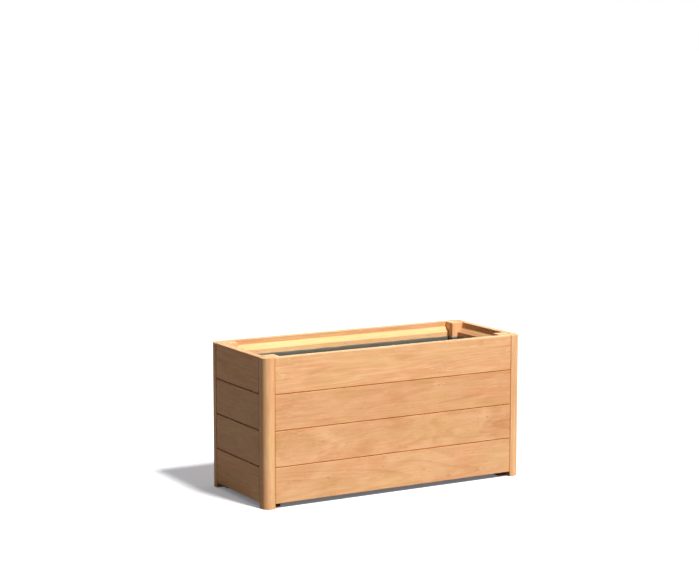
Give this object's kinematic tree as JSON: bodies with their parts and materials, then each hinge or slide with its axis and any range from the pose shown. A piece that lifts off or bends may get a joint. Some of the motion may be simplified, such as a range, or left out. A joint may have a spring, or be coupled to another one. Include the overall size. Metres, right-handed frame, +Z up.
{
  "type": "planter trough",
  "caption": "Rectangular wooden trough planter: board walls between rounded corner posts, a bevelled inner ledge, a slatted floor and an open-topped fabric liner.",
  "frame": {"origin": "on the ground under the middle of the trough, the centre of the bounding box's bottom", "axes": "+Z up; X along the trough's length, Y across its depth, with the front wall facing -Y"},
  "size_m": [1, 0.4, 0.5],
  "materials": {
    "board_wood": "planed softwood, warm light tan, clear matt finish",
    "post_wood": "planed softwood, warm light tan, clear matt finish",
    "ledge_wood": "planed softwood, warm light tan, clear matt finish",
    "floor_wood": "planed softwood, untreated",
    "liner_fabric": "dark grey non-woven root cloth",
    "steel": "zinc-plated steel"
  },
  "bodies": {
    "root": {"post_front_left": "post_wood", "post_front_right": "post_wood", "post_back_left": "post_wood", "post_back_right": "post_wood", "front_board_1": "board_wood", "front_board_2": "board_wood", "front_board_3": "board_wood", "front_board_4": "board_wood", "right_board_1": "board_wood", "right_board_2": "board_wood", "right_board_3": "board_wood", "right_board_4": "board_wood", "back_board_1": "board_wood", "back_board_2": "board_wood", "back_board_3": "board_wood", "back_board_4": "board_wood", "left_board_1": "board_wood", "left_board_2": "board_wood", "left_board_3": "board_wood", "left_board_4": "board_wood", "front_ledge": "ledge_wood", "right_ledge": "ledge_wood", "back_ledge": "ledge_wood", "left_ledge": "ledge_wood", "front_bearer": "floor_wood", "right_bearer": "floor_wood", "back_bearer": "floor_wood", "left_bearer": "floor_wood", "floor_slat_1": "floor_wood", "floor_slat_2": "floor_wood", "floor_slat_3": "floor_wood", "floor_slat_4": "floor_wood", "floor_slat_5": "floor_wood", "floor_slat_6": "floor_wood", "floor_slat_7": "floor_wood", "floor_slat_8": "floor_wood", "left_end_slat": "floor_wood", "right_end_slat": "floor_wood", "liner": "liner_fabric", "liner_staples": "steel", "ledge_pins": "steel", "board_screws_front": "steel", "board_screws_right": "steel", "board_screws_back": "steel", "board_screws_left": "steel", "bearer_screws": "steel", "slat_screws": "steel"}
  },
  "joints": []
}
